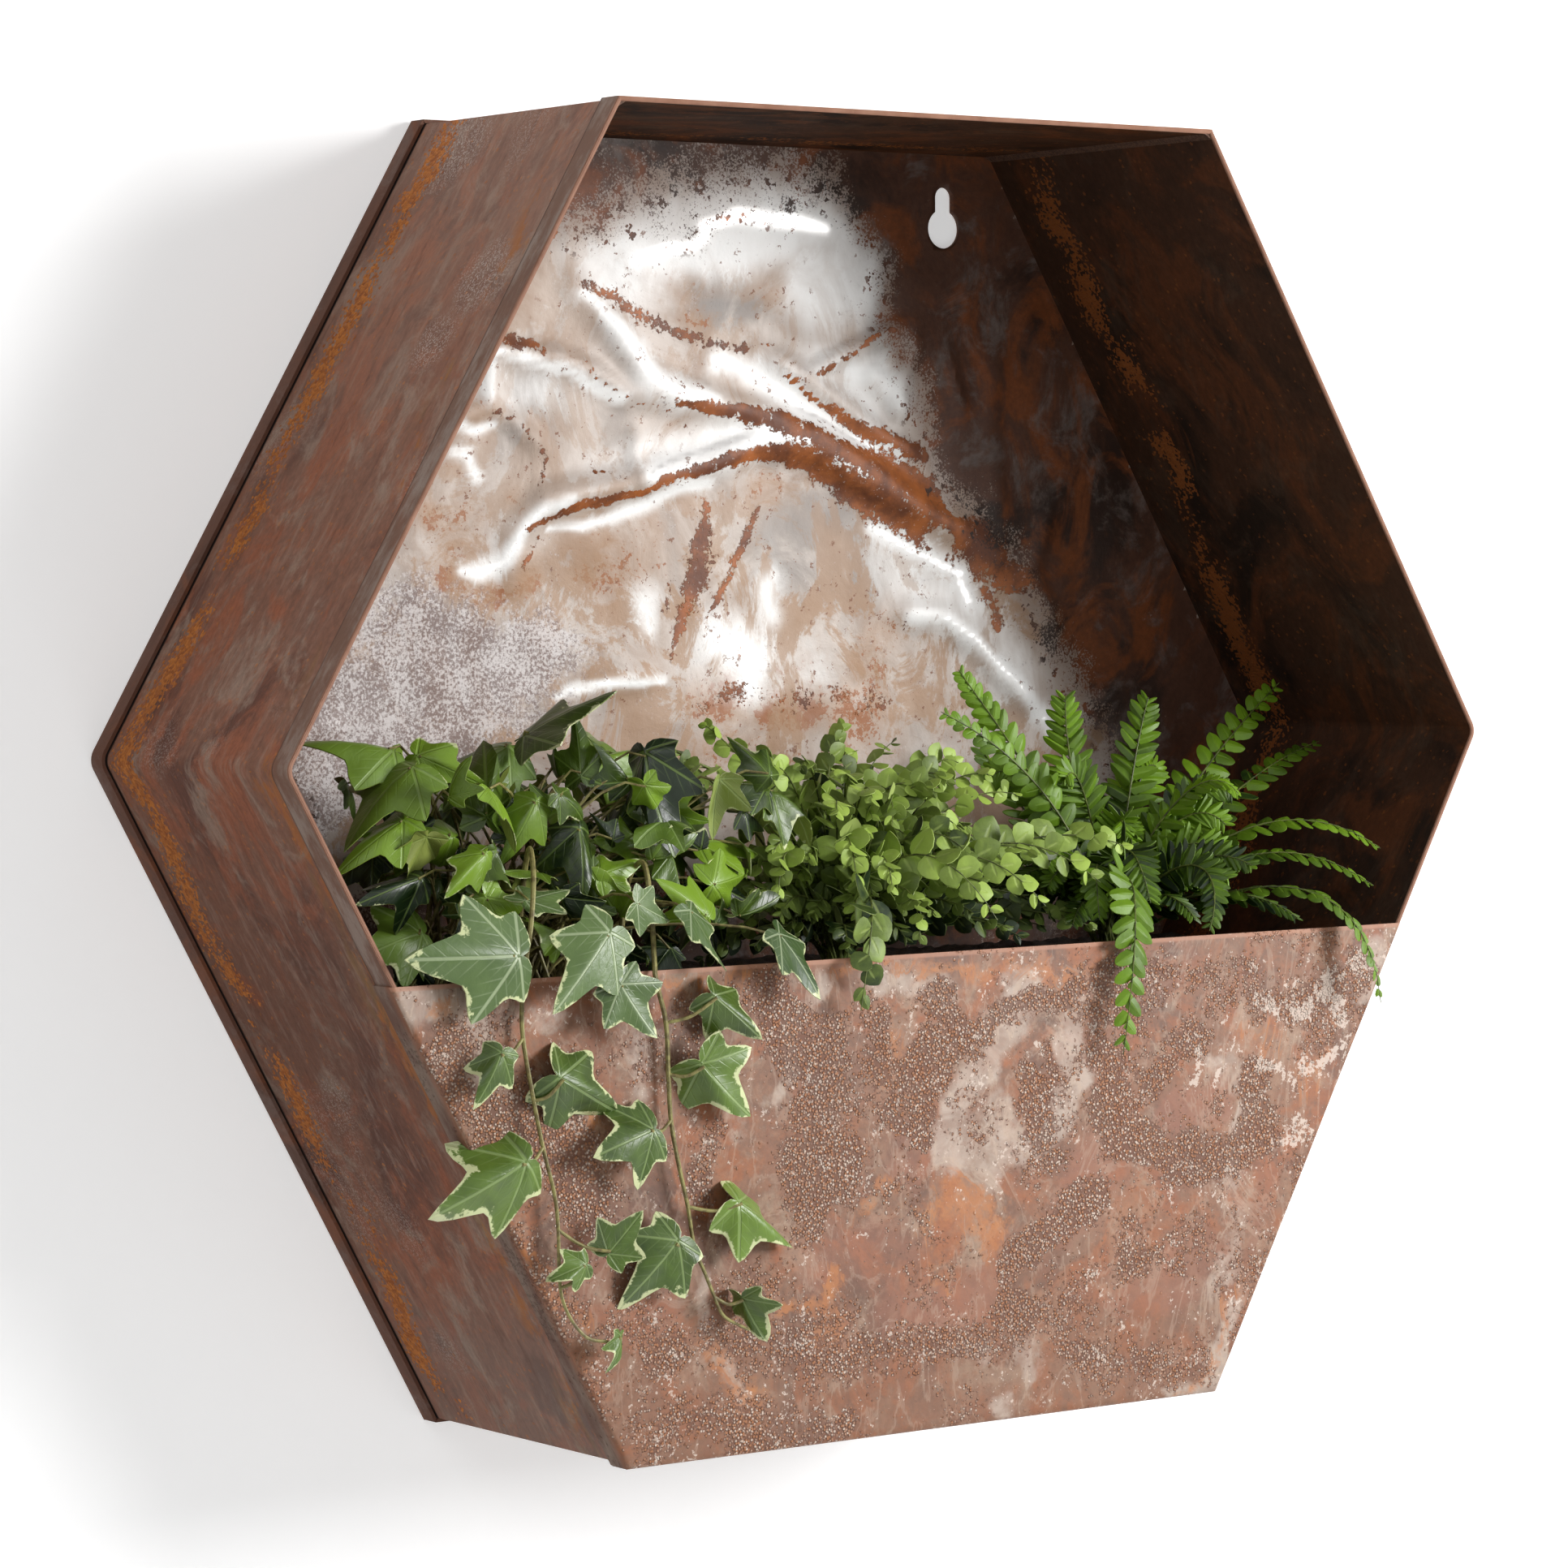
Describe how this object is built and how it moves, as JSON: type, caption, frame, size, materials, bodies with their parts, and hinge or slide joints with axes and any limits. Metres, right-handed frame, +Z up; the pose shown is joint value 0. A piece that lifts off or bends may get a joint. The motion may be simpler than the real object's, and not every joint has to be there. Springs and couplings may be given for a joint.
{
  "type": "hanging planter",
  "caption": "Hexagonal steel wall planter with an open upper niche, a closed soil pocket below, and trailing ivy and ferns planted in it.",
  "frame": {"origin": "on the rear face, midway between the centres of the two keyhole heads that the planter hangs from", "axes": "+X to the right seen from the front, +Y into the wall, +Z up; the open front faces -Y"},
  "size_m": [0.6, 0.171, 0.53],
  "materials": {
    "rusted_steel": "matte",
    "mottled_steel": "satin",
    "weld_metal": "matte",
    "screen_steel": "satin",
    "fired_clay": "matte",
    "potting_soil": "matte",
    "rooted_soil": "matte",
    "ivy_leaf": "satin",
    "fern_leaf": "satin",
    "button_leaf": "satin"
  },
  "bodies": {
    "root": {"back_pan": "mottled_steel", "left_side_wall": "rusted_steel", "right_side_wall": "rusted_steel", "top_wall": "rusted_steel", "bottom_wall": "rusted_steel", "front_panel": "mottled_steel", "corner_welds": "weld_metal", "drain_screens": "screen_steel", "clay_pellets": "fired_clay", "potting_soil": "potting_soil", "ivy_root_ball": "rooted_soil", "button_fern_root_ball": "rooted_soil", "sword_fern_root_ball": "rooted_soil", "ivy_crown": "ivy_leaf", "ivy_trail_left": "ivy_leaf", "ivy_trail_right": "ivy_leaf", "button_fern": "button_leaf", "sword_fern": "fern_leaf"}
  },
  "joints": []
}
